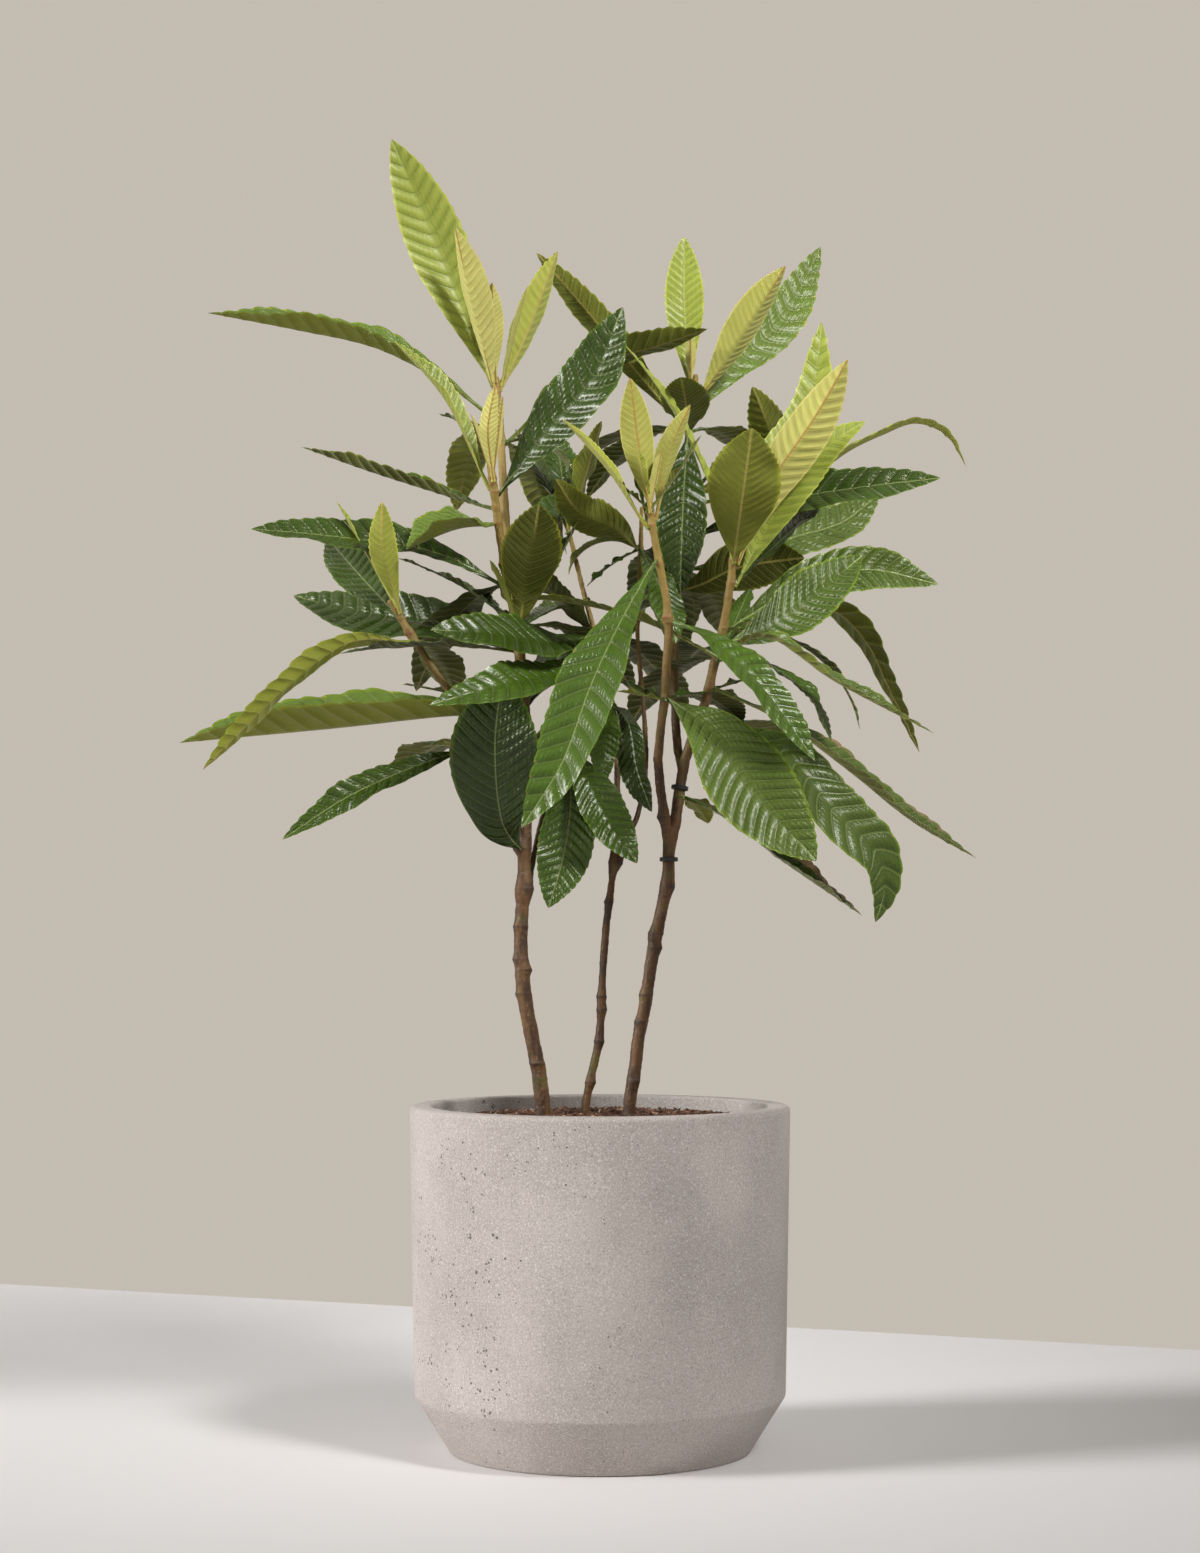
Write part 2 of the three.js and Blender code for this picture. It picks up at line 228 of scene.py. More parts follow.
# from where the pits thin out to where they are thickest, across the pot
PITTED_SIDE = (0.08, -0.06)


def concrete():
    """Warm grey, with fine sand grains, soft blotches and small open pits, mostly on one side; the pits are
    darkened with painted shade.
    """
    surface = Surface("concrete")
    where = surface.place()
    grain = surface.clouds(where, SAND_PER_METRE, 3)
    blotch = surface.clouds(where, BLOTCHES_PER_METRE, 5)
    patch = surface.clouds(where, PIT_PATCHES_PER_METRE, 2)
    cluster = surface.clouds(where, PIT_CLUSTERS_PER_METRE, 2)
    pitted_side = surface.span(surface.part_of(where, "X"), *PITTED_SIDE, 0.25, 1.0)
    crowded = surface.math("MULTIPLY", surface.span(patch, 0.42, 0.58), pitted_side)
    crowded = surface.math("MULTIPLY", surface.span(cluster, 0.42, 0.62), crowded)
    small_size = surface.math("MULTIPLY", crowded, 0.26)
    small_pit = surface.math("LESS_THAN", surface.cells(where, SMALL_PITS_PER_METRE), small_size)
    wide_size = surface.math("MULTIPLY", crowded, 0.15)
    wide_pit = surface.math("LESS_THAN", surface.cells(where, WIDE_PITS_PER_METRE), wide_size)
    pit = surface.math("MAXIMUM", small_pit, wide_pit)
    tone = surface.mix(surface.span(blotch, 0.35, 0.65), CEMENT_DARK, CEMENT_LIGHT)
    tone = surface.mix(surface.span(grain, 0.52, 0.7, 0.0, 0.55), tone, SAND_PALE)
    tone = surface.mix(surface.span(grain, 0.47, 0.3, 0.0, 0.55), tone, SAND_DARK)
    # painted shade: the pits are darkened where the bump sinks them
    tone = surface.mix(surface.math("MULTIPLY", pit, 0.85), tone, PAINTED_PIT_SHADE)
    height = surface.math("SUBTRACT", surface.math("MULTIPLY", grain, 0.35), pit)
    surface.bump(height, 0.7 * MM, 0.6)
    return surface.finish(tone, 0.8)


inner_radius = POT_RADIUS - WALL
inner_foot = FOOT_RADIUS - WALL + INNER_CHAMFER
inner_shoulder = (inner_radius - INNER_WALL_LEAN, SHOULDER_HEIGHT + INNER_CHAMFER)
shoulder = (SHOULDER_RADIUS - SHOULDER_ROUNDING, SHOULDER_HEIGHT + FOOT_ROUNDING)
pot_outline = [(0, 0), (FOOT_RADIUS, 0)]
pot_outline += corner((FOOT_RADIUS, FOOT_ROUNDING), FOOT_ROUNDING, -80, -35, 4)
pot_outline += corner(shoulder, SHOULDER_ROUNDING, -33, 0)
pot_outline += corner(
    (POT_RADIUS - OUTER_LIP_ROUNDING, POT_HEIGHT - OUTER_LIP_ROUNDING), OUTER_LIP_ROUNDING, 0, 90,
)
pot_outline += corner(
    (inner_radius + INNER_LIP_ROUNDING, POT_HEIGHT - INNER_LIP_ROUNDING), INNER_LIP_ROUNDING, 90, 180,
)
pot_outline += [inner_shoulder, (inner_foot, POT_FLOOR), (0, POT_FLOOR)]
pot = turned("planter", pot_outline)
pot.data.materials.append(concrete())
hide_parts("pot")


# ---- Soil ----
# A low dome of damp potting mix, filled in against the pot's wall, with a loose layer of
# shredded bark chips strewn over it.
_, soil_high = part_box("soil")
SOIL_TOP = soil_high.z
SOIL_RADIUS = soil_high.x
SOIL_EDGE = SOIL_TOP - 5 * MM
SOIL_DEPTH = 30 * MM
SOIL_TAPER = 2 * MM
SOIL_RINGS = 30
SOIL_STEPS = 96
UNEVENNESS = 1.2 * MM
HUMMOCKS_PER_METRE = 60
CHIP_COUNT = 3400
CHIP_SEED = 11
CHIP_MARGIN = 2.5 * MM
CHIP_LENGTHS = (2.5 * MM, 8 * MM)
# width and thickness of a chip as shares of its length, and how uneven its corners are
CHIP_WIDTHS = (0.25, 0.55)
CHIP_THICKNESSES = (0.15, 0.3)
CHIP_CORNERS = (0.75, 1.2)
# how high a chip lies over the mix, in mm, and how far it tilts, in radians
CHIP_LIFTS = (-0.3, 1.2)
CHIP_TILT = 0.35


def soil_height(x, y):
    """Height of the dome, with a gentle unevenness."""
    share = min(math.hypot(x, y) / SOIL_RADIUS, 1)
    dome = SOIL_EDGE + (SOIL_TOP - SOIL_EDGE) * (1 - share * share)
    return dome - UNEVENNESS + UNEVENNESS * noise.noise(Vector((x, y, 0)) * HUMMOCKS_PER_METRE)


def soil_bed():
    """A thick disc of mix whose top face is raised into the dome."""
    outline = [(SOIL_RADIUS * ring / SOIL_RINGS, 0) for ring in range(SOIL_RINGS + 1)]
    outline += [(SOIL_RADIUS - SOIL_TAPER, -SOIL_DEPTH), (0, -SOIL_DEPTH)]
    bed = turned("soil_bed", outline, SOIL_STEPS)
    for vertex in bed.data.vertices:
        if vertex.co.z > -1 * MM:
            vertex.co.z = soil_height(vertex.co.x, vertex.co.y)
        else:
            vertex.co.z += SOIL_EDGE
    return bed


def bark_chips():
    """Flat splinters, each a small faceted lump pulled long and lying at its own tilt."""
    draw = random.Random(CHIP_SEED)
    shape = bmesh.new()
    shade = shape.verts.layers.float.new("shade")
    for _ in range(CHIP_COUNT):
        radius = (SOIL_RADIUS - CHIP_MARGIN) * math.sqrt(draw.random())
        angle = draw.uniform(0, math.tau)
        x = radius * math.cos(angle)
        y = radius * math.sin(angle)
        length = draw.uniform(*CHIP_LENGTHS)
        width = length * draw.uniform(*CHIP_WIDTHS)
        size = Vector((length, width, length * draw.uniform(*CHIP_THICKNESSES))) / 2
        place = Vector((x, y, soil_height(x, y) + draw.uniform(*CHIP_LIFTS) * MM))
        tilt = (draw.gauss(0, CHIP_TILT), draw.gauss(0, CHIP_TILT))
        turn = Euler((*tilt, draw.uniform(0, math.tau))).to_matrix()
        lump = bmesh.ops.create_icosphere(shape, subdivisions=1, radius=1)["verts"]
        chip_shade = draw.random()
        for vertex in lump:
            rough = [draw.uniform(*CHIP_CORNERS) for _ in size]
            vertex.co = place + turn @ Vector(a * b * c for a, b, c in zip(vertex.co, size, rough))
            vertex[shade] = chip_shade
    return finished("bark_chips", shape, smooth=False)


SOIL_DARK = colour(0.02, 0.011, 0.007)
SOIL_BROWN = colour(0.07, 0.038, 0.024)
CHIP_DARK = colour(0.04, 0.018, 0.01)
CHIP_BROWN = colour(0.19, 0.08, 0.042)
CHIP_PALE = colour(0.5, 0.34, 0.22)
# painted shade for the cracks in the chips
PAINTED_CRACK_SHADE = colour(0.015, 0.008, 0.005)


def soil_surface():
    """Damp dark crumbs."""
    surface = Surface("damp_soil")
    where = surface.place()
    tone = surface.mix(surface.clouds(where, 300), SOIL_DARK, SOIL_BROWN)
    surface.bump(surface.clouds(where, 700), 1 * MM)
    return surface.finish(tone, 0.95)


def chip_surface():
    """Red-brown bark, each chip in its own tone and a few of them bleached, with painted shade in its
    cracks.
    """
    surface = Surface("shredded_bark")
    where = surface.place()
    shade = surface.attribute("shade")
    grain = surface.clouds(where, 1100, 3)
    tone = surface.mix(shade, CHIP_DARK, CHIP_BROWN)
    tone = surface.mix(surface.span(shade, 0.88, 0.98, 0.0, 0.9), tone, CHIP_PALE)
    # painted shade: darker where the grain's bump sinks into cracks
    tone = surface.mix(surface.span(grain, 0.5, 0.3, 0.0, 0.6), tone, PAINTED_CRACK_SHADE)
    surface.bump(grain, 0.5 * MM)
    return surface.finish(tone, 0.85)


soil = soil_bed()
soil.data.materials.append(soil_surface())
chips = bark_chips()
chips.data.materials.append(chip_surface())
for piece in (soil, chips):
    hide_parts("soil")


# ---- Stems ----
# Three woody stems with their shoots, each grown in one piece and rooted in the soil. The bark
# is brown below and olive-tan above, with knots and rings where old leaves have dropped.
STEM_VOXEL = 0.8 * MM
STEM_SMOOTHING = 8
BARK_PROUD = 0.25 * MM
LUMP_RISE = 0.35 * MM
LUMPS_PER_METRE = 130
GRAIN_RISE = 0.2 * MM
GRAINS_PER_METRE = 420
NODE_RISE = 1.1 * MM
NODE_REACH = 2.6 * MM
KNOT_BAND = 1.2 * MM
KNOT_DEPTH = 1 * MM
KNOT_FULLNESS = 0.85
SCAR_REACH = 12 * MM
SCAR_RISE = 0.35 * MM
SCAR_WIDTH = 1.1 * MM
SCAR_FADE = 9 * MM
LEAF_RING = 6
# for each stem: height of the knot as a share of the stem's own box, its side in degrees (0 right,
# 270 front), how far it swells and how far it reaches in mm
KNOTS = {
    "left_stem": [
        (0.44, 170, 2.4, 5), (0.39, 0, 3.2, 6), (0.35, 200, 1.0, 3), (0.31, 180, 1.6, 3),
        (0.3, 350, 2.4, 3), (0.27, 180, 1.5, 3), (0.19, 250, 0.7, 2), (0.68, 180, 1.5, 4),
        (0.76, 180, 1.4, 3),
    ],
    "middle_stem": [
        (0.5, 0, 2.4, 5), (0.45, 180, 1.2, 3), (0.32, 180, 1.4, 3), (0.3, 0, 1.2, 3),
        (0.26, 270, 1.0, 3), (0.2, 0, 1.5, 3),
    ],
    "right_stem": [
        (0.39, 0, 2.2, 4), (0.34, 180, 1.6, 4), (0.32, 10, 1.8, 3), (0.27, 180, 1.4, 3),
        (0.24, 200, 0.9, 3), (0.17, 300, 0.8, 3), (0.47, 180, 2.0, 3), (0.69, 180, 1.6, 3),
        (0.78, 0, 1.4, 3),
    ],
}


def in_order(verts):
    """The corners sorted by their places, so that every run takes them alike."""
    return sorted(verts, key=lambda v: tuple(v.co))


def rings_of(node):
    """The rings of six corners of a plain leaf solid, from the stalk to the tip."""
    shape = bmesh.new()
    shape.from_mesh(node.data)
    bmesh.ops.remove_doubles(shape, verts=shape.verts, dist=1e-5)
    verts = in_order(shape.verts)
    centre = sum((v.co for v in verts), Vector()) / len(verts)
    one_end = max(verts, key=lambda v: (v.co - centre).length)
    other_end = max(verts, key=lambda v: (v.co - one_end.co).length)
    ends = [
        sorted(verts, key=lambda v: (v.co - end.co).length)[:LEAF_RING] for end in (one_end, other_end)
    ]
    ring = max(ends, key=lambda end: (end[-1].co - end[0].co).length)
    rings = []
    seen = set()
    while ring:
        rings.append([v.co.copy() for v in in_order(ring)])
        seen.update(ring)
        ring = in_order({edge.other_vert(v) for v in ring for edge in v.link_edges} - seen)
    shape.free()
    return rings


leaf_nodes = sorted(name for name in frame["nodes"] if name.startswith("leaf_"))
leaf_rings = {name: rings_of(frame["nodes"][name]) for name in leaf_nodes}
leaf_starts = {name: sum(rings[0], Vector()) / len(rings[0]) for name, rings in leaf_rings.items()}


def even_copy(name):
    """The stem's own form, merged and remeshed to even small faces."""
    shape = bmesh.new()
    shape.from_mesh(frame["nodes"][name].data)
    bmesh.ops.remove_doubles(shape, verts=shape.verts, dist=5e-6)
    mesh = bpy.data.meshes.new(name)
    shape.to_mesh(mesh)
    shape.free()
    stem = bpy.data.objects.new(name + "_bark", mesh)
    bpy.context.scene.collection.objects.link(stem)
    remesh = stem.modifiers.new("even", "REMESH")
    remesh.mode = "VOXEL"
    remesh.voxel_size = STEM_VOXEL
    graph = bpy.context.evaluated_depsgraph_get()
    stem.data = bpy.data.meshes.new_from_object(stem.evaluated_get(graph))
    stem.modifiers.clear()
    return stem


def knots_of(name, verts):
    """Place, rise and reach of each knot: the outermost bark on its side, and each leaf's node."""
    stem_low, stem_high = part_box(name)
    knots = []
    for share, side, rise, reach in KNOTS[name]:
        height = stem_low.z + (stem_high.z - stem_low.z) * share
        level = [v.co for v in verts if abs(v.co.z - height) < KNOT_BAND]
        outward = Vector((math.cos(math.radians(side)), math.sin(math.radians(side)), 0))
        outermost = max(level, key=lambda place: place.dot(outward))
        knots.append((outermost - outward * KNOT_DEPTH, rise * MM, reach * MM))
    knots += [(start, NODE_RISE, NODE_REACH) for start in leaf_starts.values()]
    return knots


def fine_stem(name):
    """The stem rounded, swollen at its knots and roughened by its bark, and a tree to find it by."""
    stem = even_copy(name)
    shape = bmesh.new()
    shape.from_mesh(stem.data)
    for _ in range(STEM_SMOOTHING):
        bmesh.ops.smooth_vert(
            shape, verts=shape.verts, factor=0.5, use_axis_x=True, use_axis_y=True, use_axis_z=True,
        )
    scar = shape.verts.layers.float.new("scar")
    shape.normal_update()
    shape.verts.ensure_lookup_table()
    nearby = KDTree(len(shape.verts))
    for vertex in shape.verts:
        nearby.insert(vertex.co, vertex.index)
    nearby.balance()
    lifts = [
        BARK_PROUD + LUMP_RISE * noise.noise(v.co * LUMPS_PER_METRE)
        + GRAIN_RISE * noise.noise(v.co * GRAINS_PER_METRE)
        for v in shape.verts
    ]
    for middle, rise, reach in knots_of(name, shape.verts):
        for place, index, distance in nearby.find_range(middle, SCAR_REACH):
            close = math.exp(-distance ** 2 / (2 * reach * reach))
            ring = math.exp(-((place.z - middle.z) / SCAR_WIDTH) ** 2) * math.exp(-distance / SCAR_FADE)
            lifts[index] += KNOT_FULLNESS * rise * close + SCAR_RISE * ring
            vertex = shape.verts[index]
            vertex[scar] = max(vertex[scar], ring, 0.6 * close)
    moved = [v.co + v.normal * lift for v, lift in zip(shape.verts, lifts)]
    for vertex, place in zip(shape.verts, moved):
        vertex.co = place
    tree = BVHTree.FromBMesh(shape)
    shape.to_mesh(stem.data)
    shape.free()
    stem.data.shade_smooth()
    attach(stem, "root")
    return stem, tree


# the darker and lighter streaks of each kind of bark
OLD_BARK = (colour(0.045, 0.018, 0.005), colour(0.135, 0.062, 0.017))
OLIVE_BARK = (colour(0.05, 0.04, 0.006), colour(0.14, 0.1, 0.022))
YOUNG_BARK = (colour(0.15, 0.1, 0.012), colour(0.36, 0.24, 0.05))
BARK_FLECK = colour(0.32, 0.2, 0.1)
OLD_SCAR = colour(0.03, 0.013, 0.006)
YOUNG_SCAR = colour(0.26, 0.09, 0.02)
# the heights between which old bark gives way to young
BARK_TURNS = (0.46, 0.62)


def bark():
    """Brown, streaked bark that turns olive-tan towards the young shoots, with darker scars."""
    surface = Surface("bark")
    where = surface.place()
    streak = surface.clouds(surface.place((1, 1, 0.25)), 160, 5)
    fleck = surface.clouds(where, 420, 4)
    drift = surface.math("MULTIPLY_ADD", surface.clouds(where, 12), 0.12, -0.06)
    height = surface.math("ADD", surface.part_of(where, "Z"), drift)
    olive = surface.mix(surface.span(streak, 0.4, 0.62), *OLIVE_BARK)
    old = surface.mix(surface.span(streak, 0.35, 0.65), *OLD_BARK)
    old = surface.mix(surface.span(surface.clouds(where, 60), 0.52, 0.66), old, olive)
    young = surface.mix(streak, *YOUNG_BARK)
    aged = surface.span(height, *BARK_TURNS)
    tone = surface.mix(aged, old, young)
    tone = surface.mix(surface.span(fleck, 0.58, 0.72, 0.0, 0.5), tone, BARK_FLECK)
    scar_tone = surface.mix(aged, OLD_SCAR, YOUNG_SCAR)
    tone = surface.mix(surface.span(surface.attribute("scar"), 0.25, 0.8, 0.0, 0.9), tone, scar_tone)
    rough = surface.math("ADD", surface.math("MULTIPLY", streak, 0.6), surface.math("MULTIPLY", fleck, 0.4))
    surface.bump(rough, 0.8 * MM, 0.7)
    return surface.finish(tone, 0.6)


bark_surface = bark()
stem_trees = []
for stem_name in KNOTS:
    stem, tree = fine_stem(stem_name)
    stem_trees.append(tree)
    stem.data.materials.clear()
    stem.data.materials.append(bark_surface)
    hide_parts(stem_name)


# ---- Ties ----
# Two narrow closed bands of soft black rubber, slipped over the right stem, one under each
# fork. They keep their packed form and only get their finish here.
TIE_BLACK = colour(0.008, 0.008, 0.008)
TIE_DUST = colour(0.03, 0.026, 0.022)


def tie_surface():
    """Black rubber, dusty in patches."""
    surface = Surface("black_tie")
    grain = surface.clouds(surface.place(), 500)
    surface.bump(grain, 0.3 * MM, 0.5)
    return surface.finish(surface.mix(grain, TIE_BLACK, TIE_DUST), 0.45)


tie_material = tie_surface()
for tie_name in ("lower_tie", "upper_tie"):
    tie = frame["nodes"][tie_name]
    tie.data.materials.clear()
    tie.data.materials.append(tie_material)


# ---- Leaves ----
# Long toothed leaves on short stalks that grow out of the bark. Each half of the blade is
# quilted between side veins that run out from the midrib, one to a tooth. Old leaves are dark
# and glossy, new ones pale.
STALK_RADIUS = 1.35 * MM
STALK_SHARE = 0.05
STALK_BLEND = 0.08
STALK_ROOT = 3.0 * MM
BLADE_THICKNESS = 0.4 * MM
# how far along the leaf its widest place is
WIDEST_AT = 0.574
# how far the side veins slant towards the tip on their way out, and how they curve
VEIN_SLANT = 0.75
VEIN_CURVE = 1.2
# the share of a tooth's length that its long side takes
TOOTH_PEAK = 0.75
RIB_SIZE = 1.1 * MM
GROOVE_DEPTH = 0.35 * MM
GROOVE_WIDTH = 0.9 * MM
# how softly the blade folds along its midrib
BUD_CREASE = 1.2 * MM
LEAF_CREASE = 2.5 * MM
STATIONS = 120
ROWS_TO_A_VEIN = 6
ROWS_TO_A_CLOSE_VEIN = 4
CLOSE_VEINS = 5 * MM
COLUMN_SPACING = 3 * MM
# pairs of side veins, rise of the quilting as a share of their spacing, waviness in mm,
# depth of the teeth in mm
HABITS = {
    "old_leaf": (16, 0.19, 1.8, 0.9),
    "mature_leaf": (17, 0.18, 1.4, 1.1),
    "young_leaf": (18, 0.14, 0.8, 1.0),
    "bud_leaf": (20, 0.18, 0.4, 0.5),
}
# how light a leaf is for its age, from 0 to 1, where it isn't left to chance
LIGHTNESS = {
    "leaf_left_tall_1": 0.6, "leaf_left_tall_5": 0.75, "leaf_left_tall_6": 0.35,
    "leaf_left_front_3": 0.25, "leaf_left_front_4": 0.7, "leaf_left_front_5": 0.15,
    "leaf_left_front_6": 0.35, "leaf_left_trunk_1": 0.2, "leaf_left_trunk_2": 0.3,
    "leaf_left_trunk_3": 0.1, "leaf_left_trunk_4": 0.65, "leaf_left_low_2": 0.3,
    "leaf_left_low_3": 0.8, "leaf_left_low_4": 0.4, "leaf_left_inner_1": 0.5,
    "leaf_left_inner_2": 0.5, "leaf_middle_1": 0.35, "leaf_middle_2": 0.65,
    "leaf_middle_3": 0.1, "leaf_middle_4": 0.4, "leaf_right_front_4": 0.6,
    "leaf_right_front_5": 0.8, "leaf_right_front_6": 0.45, "leaf_right_outer_1": 0.5,
    "leaf_right_outer_2": 0.45, "leaf_right_outer_7": 0.35, "leaf_right_outer_8": 0.4,
    "leaf_right_outer_9": 0.3, "leaf_right_outer_10": 0.35, "leaf_right_outer_11": 0.25,
    "leaf_right_outer_12": 0.5, "leaf_right_outer_13": 0.4, "leaf_right_outer_14": 0.3,
    "leaf_right_outer_15": 0.5, "leaf_right_back_3": 0.8, "leaf_right_back_4": 0.35,
    "leaf_right_back_5": 0.4, "leaf_right_back_6": 0.1,
}
# how much of one edge has browned
BROWNED = {"leaf_right_outer_15": 1.0, "leaf_right_outer_13": 0.5, "leaf_left_trunk_4": 0.2}


def skeleton_of(rings):
    """Midrib points with the sideways directions, and the blade's half width and fold."""
    spans = [max((a - b).length for a in ring for b in ring) for ring in rings]
    widest = spans.index(max(spans))
    pairs = ((a, b) for a in rings[widest] for b in rings[widest])
    first, last = max(pairs, key=lambda pair: (pair[0] - pair[1]).length)
    axis = (last - first).normalized()
    middles = [None] * len(rings)
    sides = [None] * len(rings)
    for index in list(range(widest, len(rings))) + list(range(widest - 1, -1, -1)):
        if index == widest - 1:
            axis = sides[widest]
        ranked = sorted(rings[index], key=lambda place: place.dot(axis))
        left = (ranked[0] + ranked[1]) / 2
        right = (ranked[4] + ranked[5]) / 2
        middles[index] = (ranked[2] + ranked[3]) / 2
        axis = (right - left).normalized()
        sides[index] = axis
        if index == widest:
            rise = (left + right) / 2 - middles[index]
            half = (right - middles[index]).length
    along = (middles[widest + 1] - middles[widest - 1]).normalized()
    if along.cross(sides[widest]).dot(rise) < 0:
        sides = [-side for side in sides]
    return middles, sides, half, math.asin(rise.length / half)


def smooth_between(points, share):
    """A place on the smooth curve through evenly spaced points, straight on past its start."""
    last = len(points) - 1
    if share <= 0:
        return points[0] + (points[1] - points[0]) * share * last
    spot = min(share, 1) * last
    index = min(int(spot), last - 1)
    part = spot - index
    before = points[index - 1] if index else 2 * points[0] - points[1]
    after = points[index + 2] if index + 2 <= last else 2 * points[last] - points[last - 1]
    a, b = points[index], points[index + 1]
    return 0.5 * (
        2 * a + (b - before) * part + (2 * before - 5 * a + 4 * b - after) * part ** 2
        + (3 * a - before - 3 * b + after) * part ** 3
    )


def ease(start, end, value):
    """0 before start, 1 after end, and smooth between."""
    share = min(max((value - start) / (end - start), 0), 1)
    return share * share * (3 - 2 * share)


def length_along(points):
    """The length of the line through the points."""
    return sum((b - a).length for a, b in zip(points, points[1:]))


def rail_along(middles, sides, start):
    """Fine stations along the midrib: the place, the way to one side and the way up."""
    rail = []
    for station in range(STATIONS + 1):
        share = start + (1 - start) * station / STATIONS
        ahead = smooth_between(middles, share + 0.01) - smooth_between(middles, share - 0.01)
        if share > 0.99:
            ahead = smooth_between(middles, 1) - smooth_between(middles, 0.97)
        ahead.normalize()
        side = smooth_between(sides, min(max(share, 0), 1))
        side = (side - ahead * side.dot(ahead)).normalized()
        rail.append((smooth_between(middles, share), side, ahead.cross(side)))
    return rail


def blade_reach(share, half, fullness):
    """Half the blade's width at a share of its length, tapered to the stalk and the tip."""
    blunting = 1.3 - 0.4 * ease(0.1, 0.5, share)
    return half * math.sin(math.pi * min(max(share, 0), 1) ** fullness) ** blunting


def tooth_reach(part, share, depth):
    """How far the rim stands out at a part of its tooth, with none near the stalk or the tip."""
    tooth = part / TOOTH_PEAK if part < TOOTH_PEAK else (1 - part) / (1 - TOOTH_PEAK)
    return depth * tooth * ease(0.25, 0.4, share) * ease(0, 0.06, 1 - share)


def quilt_rise(part, share, edge, quilting, spacing):
    """How far the blade puffs up between two side veins, or sinks along one."""
    quilt = (abs(math.sin(math.pi * part)) ** 0.75 - 0.55) * quilting * spacing
    quilt *= ease(0, 0.3, edge) * (1 - 0.6 * ease(0.65, 1, edge))
    quilt *= ease(0.06, 0.16, share) * ease(0, 0.12, 1 - share)
    return quilt


def wave_rise(spot, across, phase, height):
    """How far the blade waves up and down along its rim."""
    wave = math.sin(phase + spot * 15 + across) + 0.5 * math.sin(phase * 2 + spot * 31 - across)
    return wave * height


def skin_lift(rise, out, edge, share, stalk, below):
    """Height of the upper or the under skin, round on the stalk and thin on the blade."""
    skin = BLADE_THICKNESS / 2 * (1 - edge ** 6)
    barrel = STALK_RADIUS * math.sqrt(max(1 - edge * edge, 0))
    if below:
        rib = RIB_SIZE * (1 - 0.8 * min(max(share, 0), 1)) * math.exp(-(out / RIB_SIZE) ** 2)
        return (rise - skin - rib) * (1 - stalk) - barrel * stalk
    groove = GROOVE_DEPTH * math.exp(-(out / GROOVE_WIDTH) ** 2)
    return (rise + skin - groove) * (1 - stalk) + barrel * stalk


def grown_leaf(name, skeleton, age, seed, light=None, browned=0.0):
    """A closed blade on its stalk: a grid wrapped round from the upper side to the under side."""
    draw = random.Random(seed)
    middles, sides, half, fold = skeleton
    pairs, quilting, waviness, tooth_depth = HABITS[age]
    length = length_along(middles)
    veins = pairs + draw.randint(-1, 1)
    spacing = length / veins
    rows = veins * (ROWS_TO_A_VEIN if spacing > CLOSE_VEINS else ROWS_TO_A_CLOSE_VEIN)
    columns = 8 + round(half / COLUMN_SPACING)
    lean = VEIN_SLANT * half / length
    fullness = math.log(0.5) / math.log(WIDEST_AT - lean)
    crease = BUD_CREASE if age == "bud_leaf" else LEAF_CREASE
    phase = draw.uniform(0, math.tau)
    lightness = draw.uniform(0.1, 0.8) if light is None else light
    start = -STALK_ROOT / length
    rail = rail_along(middles, sides, start)

    shape = bmesh.new()
    bmesh.ops.create_grid(shape, x_segments=rows, y_segments=2 * columns, size=1)
    layer_names = ("vein", "across", "rim", "light", "brown")
    layers = {layer: shape.verts.layers.float.new(layer) for layer in layer_names}
    for face in shape.faces:
        face.material_index = 1 if face.calc_center_median().y > 0 else 0
    for vertex in shape.verts:
        share = start + (1 - start) * (vertex.co.x + 1) / 2
        below = vertex.co.y > 0
        across = 1 - 2 * vertex.co.y if below else 1 + 2 * vertex.co.y
        edge = abs(across)
        blade = blade_reach(share, half, fullness)
        stalk = 1 - ease(STALK_SHARE, STALK_SHARE + STALK_BLEND, share)
        width = max(blade, STALK_RADIUS * stalk)
        spot = min(share + VEIN_SLANT * edge ** VEIN_CURVE * blade / length, 1)
        part = (share * veins) % 1
        if edge > 0.9:
            width += tooth_reach(part, share, tooth_depth * MM)
        out = edge * width

        reached = min((spot - start) / (1 - start), 1) * STATIONS
        station = min(int(reached), STATIONS - 1)
        middle, side, up = (
            a.lerp(b, reached - station) for a, b in zip(rail[station], rail[station + 1])
        )
        rise = math.sin(fold) * (math.sqrt(out * out + crease * crease) - crease)
        quilt = quilt_rise(part, share, edge, quilting, spacing)
        wave = wave_rise(spot, across, phase, waviness * MM * edge ** 2 * ease(0, 1, blade / half))
        lift = skin_lift(rise + quilt + wave, out, edge, share, stalk, below)
        vertex.co = middle + side * math.copysign(out * math.cos(fold), across) + up * lift
        vertex[layers["vein"]] = share * veins
        vertex[layers["across"]] = out / MM
        vertex[layers["rim"]] = edge * (1 - stalk)
        vertex[layers["light"]] = lightness
        vertex[layers["brown"]] = browned * ease(0.35, 0.95, across)
    bmesh.ops.remove_doubles(shape, verts=shape.verts, dist=2e-6)
    bmesh.ops.holes_fill(shape, edges=[edge for edge in shape.edges if edge.is_boundary], sides=0)
    bmesh.ops.recalc_face_normals(shape, faces=shape.faces)
    for edge in shape.edges:
        if len({face.material_index for face in edge.link_faces}) > 1:
            edge.smooth = False
    return finished(name, shape)


